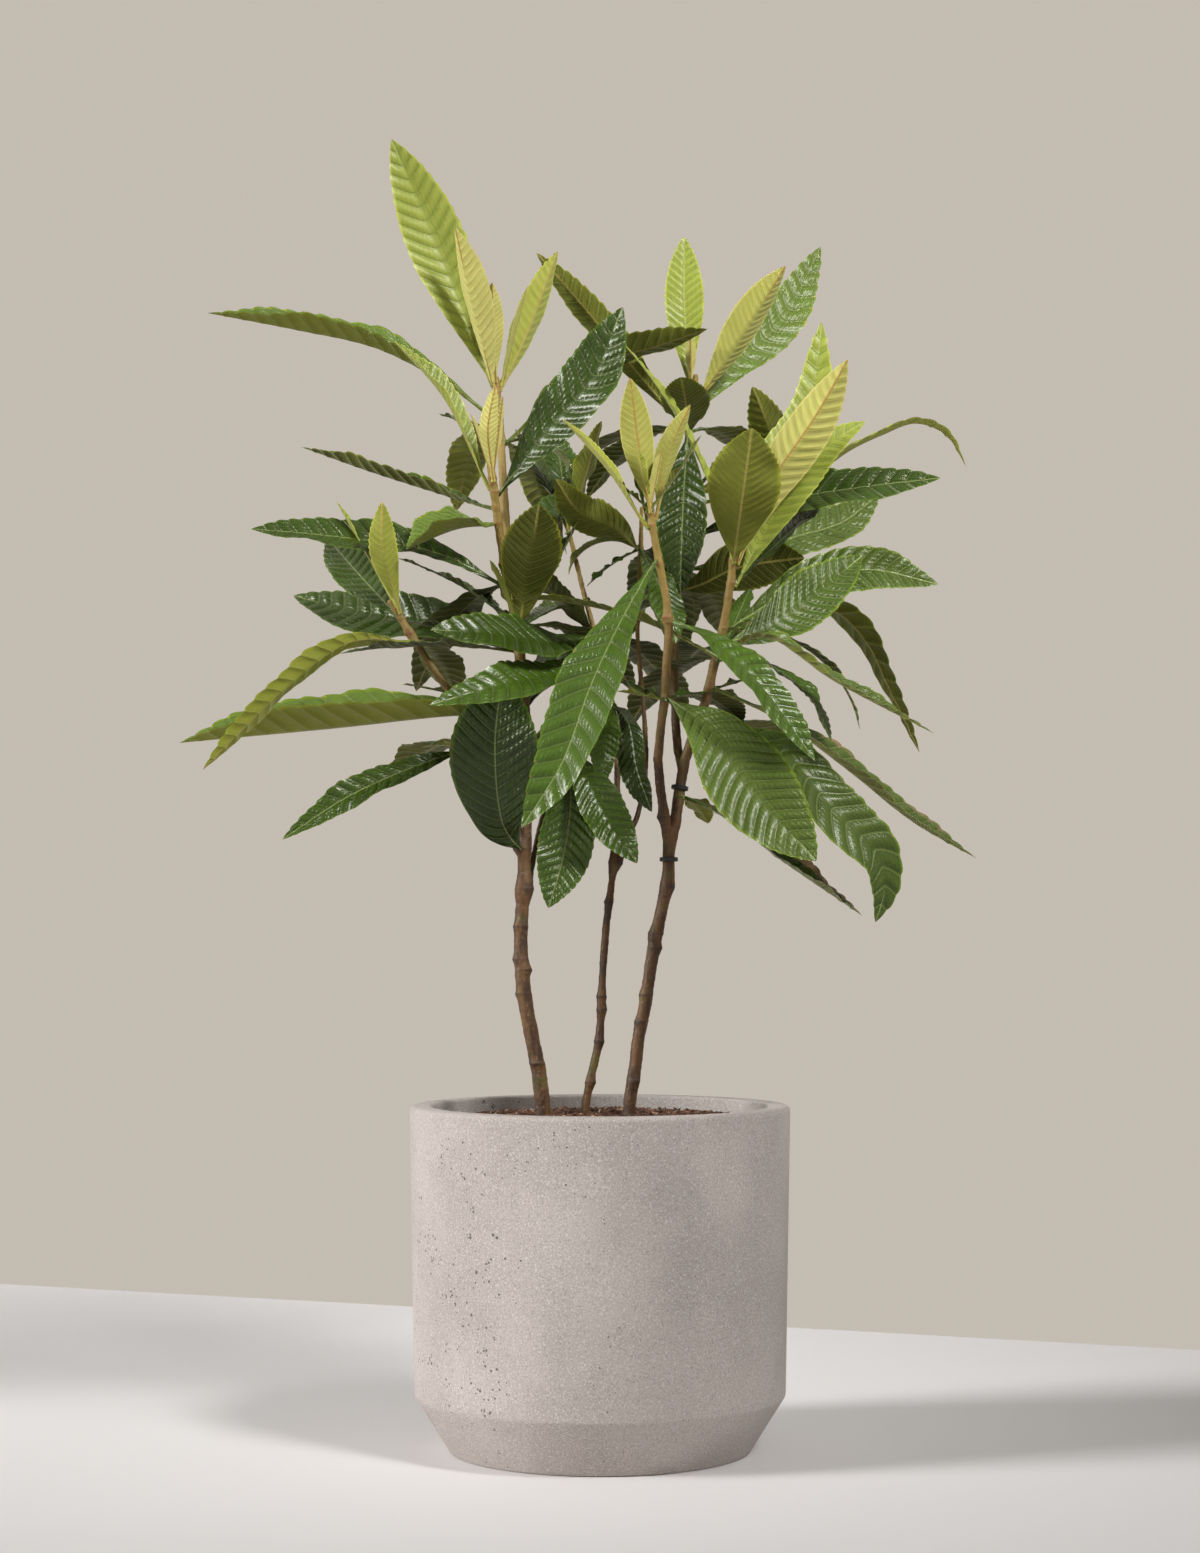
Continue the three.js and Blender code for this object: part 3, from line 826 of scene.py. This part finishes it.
# for each age and face: the darkest and lightest blade, the side veins, the midrib, the rim
LEAF_TONES = {
    "old_leaf": {
        "upper": [
            (0.009, 0.022, 0.001), (0.06, 0.122, 0.007), (0.09, 0.13, 0.03), (0.16, 0.2, 0.065),
            (0.08, 0.15, 0.01),
        ],
        "under": [
            (0.028, 0.038, 0.003), (0.15, 0.155, 0.032), (0.2, 0.2, 0.055), (0.28, 0.26, 0.085),
            (0.16, 0.175, 0.025),
        ],
    },
    "mature_leaf": {
        "upper": [
            (0.018, 0.042, 0.003), (0.14, 0.21, 0.032), (0.15, 0.2, 0.045), (0.24, 0.29, 0.1),
            (0.17, 0.26, 0.015),
        ],
        "under": [
            (0.04, 0.048, 0.001), (0.27, 0.29, 0.035), (0.24, 0.25, 0.035), (0.34, 0.29, 0.07),
            (0.34, 0.36, 0.02),
        ],
    },
    "young_leaf": {
        "upper": [
            (0.13, 0.18, 0.01), (0.39, 0.43, 0.075), (0.2, 0.25, 0.045), (0.34, 0.38, 0.12),
            (0.52, 0.55, 0.07),
        ],
        "under": [
            (0.2, 0.22, 0.014), (0.44, 0.45, 0.09), (0.3, 0.31, 0.06), (0.42, 0.33, 0.09),
            (0.6, 0.6, 0.08),
        ],
    },
    "bud_leaf": {
        "upper": [
            (0.26, 0.29, 0.025), (0.54, 0.54, 0.11), (0.36, 0.34, 0.06), (0.38, 0.27, 0.06),
            (0.66, 0.62, 0.17),
        ],
        "under": [
            (0.29, 0.3, 0.045), (0.62, 0.58, 0.19), (0.38, 0.32, 0.07), (0.38, 0.24, 0.06),
            (0.7, 0.6, 0.19),
        ],
    },
}
BURNT_TONES = (colour(0.07, 0.022, 0.008), colour(0.5, 0.33, 0.2))
SAP_GLOW = (0.6, 1.0, 0.2)
LEAF_SHINE = colour(1.0, 1.0, 0.75)
# about how many meshes of the vein net, tints, burns and wrinkles there are to a metre
NET_PER_METRE = 520
TINTS_PER_METRE = 38
BURNS_PER_METRE = 60
BURN_FLECKS_PER_METRE = 90
WRINKLES_PER_METRE = 210
# for each face: half the midrib's width in mm, the height of the rungs and of the side veins,
# the share of the wrinkles' depth, the mirror shine and the fuzz
LEAF_FACES = {
    "upper": (0.5, 0.15, -0.8, 1.0, 0.32, 0.0),
    "under": (0.8, 0.1, 1.0, 0.5, 0.2, 0.15),
}
# roughness of the upper and the under side, how far light soaks in, the depth of the wrinkles
# in mm, and the wax on the upper side
LEAF_GLOSS = {
    "old_leaf": (0.3, 0.6, 0.02, 1.0, 0.3),
    "mature_leaf": (0.36, 0.6, 0.05, 0.9, 0.15),
    "young_leaf": (0.45, 0.6, 0.15, 0.5, 0.1),
    "bud_leaf": (0.5, 0.65, 0.15, 0.5, 0.0),
}


def leaf_surface(age, face):
    """Leaf skin: wrinkled in rungs between its side veins, with a fine net and a pale midrib."""
    deep, pale, vein_tone, midrib_tone, rim_tone = (colour(*tone) for tone in LEAF_TONES[age][face])
    rib_width, rung_rise, vein_rise, wrinkling, shine, fuzz = LEAF_FACES[face]
    upper_gloss, under_gloss, soak, depth, wax = LEAF_GLOSS[age]
    surface = Surface(f"{age}_{face}")
    where = surface.place()
    across = surface.attribute("across")
    from_vein = surface.math("PINGPONG", surface.attribute("vein"), 0.5)
    side_vein = surface.span(from_vein, 0.02, 0.13, 1.0, 0.0)
    midrib = surface.span(across, 0.6 * rib_width, 1.3 * rib_width, 1.0, 0.0)
    net = surface.cells(where, NET_PER_METRE, "DISTANCE_TO_EDGE")
    tint = surface.clouds(where, TINTS_PER_METRE, 4)
    strip = surface.span(from_vein, 0.1, 0.45)
    light = surface.math("MULTIPLY_ADD", surface.attribute("light"), 0.8, -0.14)
    light = surface.math("MULTIPLY_ADD", tint, 0.4, light)
    light = surface.math("MULTIPLY_ADD", strip, 0.1, light)
    tone = surface.mix(surface.span(light, 0.0, 1.0), deep, pale)
    tone = surface.mix(surface.span(net, 0.0, 0.08, 0.25, 0.0), tone, vein_tone)
    tone = surface.mix(surface.math("MULTIPLY", side_vein, 0.6), tone, vein_tone)
    tone = surface.mix(surface.span(surface.attribute("rim"), 0.9, 0.99, 0.0, 0.7), tone, rim_tone)
    tone = surface.mix(midrib, tone, midrib_tone)
    burnt = surface.math("MULTIPLY_ADD", surface.clouds(where, BURNS_PER_METRE), 0.8, -0.3)
    burnt = surface.math("ADD", surface.attribute("brown"), burnt)
    burnt_tone = surface.mix(surface.clouds(where, BURN_FLECKS_PER_METRE), *BURNT_TONES)
    tone = surface.mix(surface.span(burnt, 0.55, 0.75), tone, burnt_tone)
    waver = surface.math("MULTIPLY", surface.clouds(where, WRINKLES_PER_METRE, 2), 9.0)
    rungs = surface.math("SINE", surface.math("MULTIPLY_ADD", across, 2.1, waver))
    height = surface.math("MULTIPLY", rungs, rung_rise)
    height = surface.math("MULTIPLY_ADD", surface.span(net, 0.0, 0.3), 0.1, height)
    ridge = surface.math("MULTIPLY", side_vein, vein_rise)
    surface.bump(surface.math("ADD", height, ridge), depth * (wrinkling * MM), 0.65)
    return surface.finish(
        tone, upper_gloss if face == "upper" else under_gloss,
        Subsurface_Weight=soak, Subsurface_Radius=SAP_GLOW, Subsurface_Scale=1 * MM,
        Specular_IOR_Level=shine, Specular_Tint=LEAF_SHINE,
        Coat_Weight=wax if face == "upper" else 0.0, Coat_Roughness=0.24,
        Sheen_Weight=fuzz,
    )


leaf_materials = {age: [leaf_surface(age, face) for face in ("upper", "under")] for age in HABITS}


def dress(leaf, age):
    """The upper and the under skin of the leaf's age."""
    for material in leaf_materials[age]:
        leaf.data.materials.append(material)


slot_of = {part["node"]: part["material_slot"] for part in frame["record"]["subparts"]}
skeletons = {name: skeleton_of(rings) for name, rings in leaf_rings.items()}
for number, node_name in enumerate(leaf_nodes):
    age = slot_of[node_name]
    leaf = grown_leaf(
        node_name + "_blade", skeletons[node_name], age, number,
        LIGHTNESS.get(node_name), BROWNED.get(node_name, 0.0),
    )
    dress(leaf, age)
    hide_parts(node_name)


# ---- Inner leaves ----
# More leaves and buds of the same kinds, half hidden among the others, with no solid of their
# own. Each grows out of the bark beside the stalk of one of its neighbours.
LEAF_FOLD = {"old_leaf": 10, "mature_leaf": 14, "young_leaf": 20, "bud_leaf": 32}
# the neighbour, the bearing in degrees (0 right, 90 back), the climb and the droop along it in
# degrees, the length as a share of the longest leaf, the width as a share of the length, the age
INNER_LEAVES = [
    ("left_front_2", -60, 75, 0, 0.22, 0.16, "bud_leaf"),
    ("left_front_2", -160, 70, 0, 0.18, 0.2, "bud_leaf"),
    ("left_tall_4", 10, 75, 0, 0.3, 0.18, "bud_leaf"),
    ("left_tall_6", 135, 25, 5, 0.3, 0.35, "old_leaf"),
    ("left_tall_6", -10, 10, 100, 0.3, 0.3, "old_leaf"),
    ("left_low_1", 170, 60, 0, 0.35, 0.18, "young_leaf"),
    ("left_low_3", 180, 0, 20, 0.3, 0.3, "young_leaf"),
    ("left_low_4", 180, 10, 20, 0.16, 0.35, "mature_leaf"),
    ("left_trunk_2", 160, 20, 10, 0.4, 0.25, "old_leaf"),
    ("left_trunk_2", -160, 5, 15, 0.5, 0.25, "old_leaf"),
    ("left_trunk_4", 150, 20, 10, 0.4, 0.28, "old_leaf"),
    ("left_trunk_1", 170, 40, 20, 0.4, 0.2, "old_leaf"),
    ("left_trunk_1", 135, 35, 5, 0.28, 0.18, "old_leaf"),
    ("left_trunk_1", -160, 65, 0, 0.2, 0.38, "mature_leaf"),
    ("left_trunk_1", 20, 60, 0, 0.4, 0.18, "mature_leaf"),
    ("left_front_6", 45, 55, 10, 0.4, 0.3, "old_leaf"),
    ("left_trunk_1", 60, 25, 20, 0.4, 0.3, "old_leaf"),
    ("left_trunk_4", 60, 45, 15, 0.45, 0.3, "old_leaf"),
    ("middle_4", -155, -25, 20, 0.2, 0.2, "old_leaf"),
    ("middle_4", 180, 30, 100, 0.25, 0.4, "mature_leaf"),
    ("middle_4", -60, -40, 30, 0.35, 0.3, "old_leaf"),
    ("middle_1", -140, 40, 10, 0.3, 0.38, "old_leaf"),
    ("middle_3", -155, 65, 0, 0.16, 0.36, "mature_leaf"),
    ("middle_3", -100, -20, 70, 0.3, 0.28, "old_leaf"),
    ("middle_shoot", -100, 80, 0, 0.14, 0.25, "bud_leaf"),
    ("middle_shoot", 60, 75, 0, 0.12, 0.25, "bud_leaf"),
    ("middle_shoot", -30, 70, 0, 0.32, 0.32, "mature_leaf"),
    ("middle_shoot", 100, 60, 10, 0.4, 0.25, "old_leaf"),
    ("middle_shoot", 150, 65, 10, 0.35, 0.3, "old_leaf"),
    ("middle_2", 60, 45, 10, 0.35, 0.3, "old_leaf"),
    ("right_front_1", -40, 75, 0, 0.16, 0.22, "bud_leaf"),
    ("right_front_1", -5, 50, -10, 0.24, 0.2, "mature_leaf"),
    ("right_front_1", 180, 40, 0, 0.12, 0.3, "mature_leaf"),
    ("right_front_1", -140, 75, 0, 0.17, 0.2, "young_leaf"),
    ("right_front_3", 150, 75, 0, 0.28, 0.12, "mature_leaf"),
    ("right_front_6", 180, 10, 0, 0.14, 0.45, "mature_leaf"),
    ("right_front_6", 145, 20, 0, 0.18, 0.4, "old_leaf"),
    ("right_front_6", 60, 15, 40, 0.45, 0.3, "old_leaf"),
    ("right_back_1", -95, 75, 0, 0.17, 0.2, "bud_leaf"),
    ("right_back_5", 180, 10, 110, 0.6, 0.3, "old_leaf"),
    ("right_back_5", -100, -60, 25, 0.5, 0.28, "old_leaf"),
    ("right_back_6", -170, -20, 20, 0.2, 0.45, "old_leaf"),
    ("right_outer_1", 160, 75, 25, 0.7, 0.1, "young_leaf"),
    ("right_outer_2", -30, 35, 0, 0.18, 0.22, "old_leaf"),
    ("right_outer_5", 30, 40, 0, 0.4, 0.35, "old_leaf"),
    ("right_outer_10", -5, 0, 75, 0.5, 0.18, "mature_leaf"),
    ("right_outer_12", -170, 30, 30, 0.6, 0.15, "mature_leaf"),
    ("right_outer_12", -30, 0, 70, 0.45, 0.22, "old_leaf"),
    ("right_outer_12", 50, 55, 0, 0.25, 0.35, "old_leaf"),
    ("right_outer_12", 100, 20, 40, 0.5, 0.28, "old_leaf"),
    ("right_outer_13", 35, 15, 0, 0.16, 0.35, "mature_leaf"),
    ("right_outer_15", 60, -10, 30, 0.16, 0.45, "mature_leaf"),
    ("right_outer_15", 20, -10, 30, 0.15, 0.45, "mature_leaf"),
]
# the neighbours that also send a leaf away behind, where the crown is otherwise thin
BACK_NEIGHBOURS = [
    "left_tall_5", "left_tall_6", "left_front_6", "left_trunk_1", "left_trunk_4", "left_inner_1",
    "left_low_3", "left_low_4", "middle_1", "middle_2", "middle_3", "middle_4", "right_back_4",
    "right_back_5", "right_back_6", "right_outer_7", "right_outer_8", "right_outer_12",
    "right_outer_14",
]
BACK_BEARINGS = (110, 75, 125, 60, 95)
BACK_SWING = 8
BACK_CLIMBS = (-5, 20)
BACK_DROOPS = (35, 50)
BACK_LENGTHS = (0.5, 0.68)
BACK_SLIMNESS = (0.22, 0.26)
# the share of the plant's height above which the back leaves are not yet old
YOUNGER_ABOVE = 0.75
BACK_SEED = 7
# the first seed of the inner leaves and of the back leaves, each of which has its own
INNER_LEAF_SEED = 100
BACK_LEAF_SEED = 200
ARCH_STEPS = 9
STALK_SUNK = 0.8

leaf_starts["leaf_middle_shoot"] = min(
    (vertex.co.copy() for vertex in frame["nodes"]["middle_stem"].data.vertices),
    key=lambda place: place.x,
)
longest_leaf = max(length_along(middles) for middles, _, _, _ in skeletons.values())


def fastened(place):
    """The point just under the bark that is nearest to a place."""
    found = [tree.find_nearest(place) for tree in stem_trees]
    point, normal, _, _ = min(found, key=lambda hit: hit[3])
    return point - normal * STALK_SUNK * MM


def arching(start, bearing, climb, droop, length, width, fold):
    """The skeleton of a leaf that sets out on a bearing, climbs, and droops as it goes."""
    place = fastened(start)
    outward = Vector((math.cos(math.radians(bearing)), math.sin(math.radians(bearing)), 0))
    side = Vector((0, 0, 1)).cross(outward)
    middles = [place.copy()]
    for step in range(ARCH_STEPS):
        slope = math.radians(climb - droop * step / (ARCH_STEPS - 1))
        heading = outward * math.cos(slope) + Vector((0, 0, math.sin(slope)))
        place = place + heading * length / ARCH_STEPS
        middles.append(place.copy())
    return middles, [side] * len(middles), width / 2, math.radians(fold)


def beside(neighbour, bearing, climb, droop, length_share, slimness, age):
    """An arching leaf that starts beside a neighbour's stalk."""
    length = length_share * longest_leaf
    start = leaf_starts["leaf_" + neighbour]
    return arching(start, bearing, climb, droop, length, slimness * length, LEAF_FOLD[age])


for number, row in enumerate(INNER_LEAVES):
    age = row[-1]
    leaf = grown_leaf(f"inner_leaf_{number + 1}", beside(*row), age, INNER_LEAF_SEED + number)
    dress(leaf, age)
draw = random.Random(BACK_SEED)
for number, neighbour in enumerate(BACK_NEIGHBOURS):
    origin = leaf_starts["leaf_" + neighbour]
    room_behind = (cad_high.y - origin.y) / longest_leaf
    age = "mature_leaf" if origin.z > YOUNGER_ABOVE * cad_high.z else "old_leaf"
    bearing = BACK_BEARINGS[number % len(BACK_BEARINGS)] + draw.uniform(-BACK_SWING, BACK_SWING)
    skeleton = beside(
        neighbour, bearing, draw.uniform(*BACK_CLIMBS), draw.uniform(*BACK_DROOPS),
        min(draw.uniform(*BACK_LENGTHS), room_behind), draw.uniform(*BACK_SLIMNESS), age,
    )
    dress(grown_leaf(f"back_leaf_{number + 1}", skeleton, age, BACK_LEAF_SEED + number), age)


# ---- Floor ----
# A plain off-white table top, one flat sheet that ends a little way behind the pot. It is only
# the stage that the pot stands on, not part of the plant.
FLOOR_SIZE = 3.2
FLOOR_BEHIND = 0.66
FLOOR_TURN = -22
FLOOR_DROP = 0.3 * MM
FLOOR_TONE = colour(0.8, 0.775, 0.765)
floor_shape = bmesh.new()
bmesh.ops.create_grid(floor_shape, x_segments=1, y_segments=1, size=FLOOR_SIZE)
turn = Matrix.Rotation(math.radians(FLOOR_TURN), 3, "Z")
bmesh.ops.translate(floor_shape, verts=floor_shape.verts, vec=(0, -FLOOR_SIZE, 0))
bmesh.ops.rotate(floor_shape, verts=floor_shape.verts, matrix=turn)
bmesh.ops.translate(floor_shape, verts=floor_shape.verts, vec=(0, FLOOR_BEHIND, -FLOOR_DROP))
floor_mesh = bpy.data.meshes.new("floor")
floor_shape.to_mesh(floor_mesh)
floor_shape.free()
floor = bpy.data.objects.new("floor", floor_mesh)
bpy.context.scene.collection.objects.link(floor)
floor_surface = Surface("floor")
floor_mesh.materials.append(floor_surface.finish(FLOOR_TONE, 0.75))


# ---- Light and camera ----
# A wide, far-off soft lamp from the left that lights the floor evenly, a narrower one from the
# upper right on the crown, a weak fill from the front and an even pale room. The camera stands
# level, a little above the rim.
def hang(lamp, place, aim):
    """The lamp in its place, turned to what it lights."""
    holder = bpy.data.objects.new(lamp.name, lamp)
    holder.location = place
    holder.rotation_euler = (Vector(aim) - Vector(place)).to_track_quat("-Z", "Y").to_euler()
    bpy.context.scene.collection.objects.link(holder)


def soft_lamp(name, place, aim, size, power, spread=180):
    """A round soft lamp; its spread in degrees narrows the beam."""
    lamp = bpy.data.lights.new(name, "AREA")
    lamp.shape = "DISK"
    lamp.size = size
    lamp.energy = power
    lamp.spread = math.radians(spread)
    hang(lamp, place, aim)


key = bpy.data.lights.new("key", "SUN")
key.energy = 3.2
key.angle = math.radians(17)
hang(key, (-2.7, -0.8, 1.5), (0, 0, 0.4))
soft_lamp("crown_light", (1.1, -1.2, 2.0), (0, 0, 0.68), size=0.5, power=3.0, spread=44)
soft_lamp("fill", (1.4, -2.4, 1.2), (0, 0, 0.5), size=2.0, power=3)

ROOM_TONE = colour(1.0, 0.985, 0.96)
WALL_TONE = colour(0.555, 0.506, 0.444)
world = bpy.data.worlds.new("studio")
bpy.context.scene.world = world
world.use_nodes = True
world_nodes = world.node_tree.nodes
world_links = world.node_tree.links
room = world_nodes["Background"]
room.inputs["Color"].default_value = ROOM_TONE
room.inputs["Strength"].default_value = 0.27
wall = world_nodes.new("ShaderNodeBackground")
wall.inputs["Color"].default_value = WALL_TONE
rays = world_nodes.new("ShaderNodeLightPath")
seen = rays.outputs["Is Camera Ray"]
for ray in ("Is Glossy Ray", "Is Transmission Ray"):
    either = world_nodes.new("ShaderNodeMath")
    either.operation = "MAXIMUM"
    world_links.new(seen, either.inputs[0])
    world_links.new(rays.outputs[ray], either.inputs[1])
    seen = either.outputs["Value"]
choice = world_nodes.new("ShaderNodeMixShader")
world_links.new(seen, choice.inputs["Fac"])
world_links.new(room.outputs["Background"], choice.inputs[1])
world_links.new(wall.outputs["Background"], choice.inputs[2])
world_links.new(choice.outputs["Shader"], world_nodes["World Output"].inputs["Surface"])

CAMERA_DISTANCE = 1.98
CAMERA_HEIGHT = 0.36
camera_data = bpy.data.cameras.new("camera")
camera_data.sensor_width = 36
camera_data.lens = 67
camera_data.shift_y = 0.094
camera = bpy.data.objects.new("camera", camera_data)
camera.location = (0, -CAMERA_DISTANCE, CAMERA_HEIGHT)
camera.rotation_euler = (math.radians(90), 0, 0)
bpy.context.scene.collection.objects.link(camera)
bpy.context.scene.camera = camera
bpy.context.scene.view_settings.view_transform = "Standard"
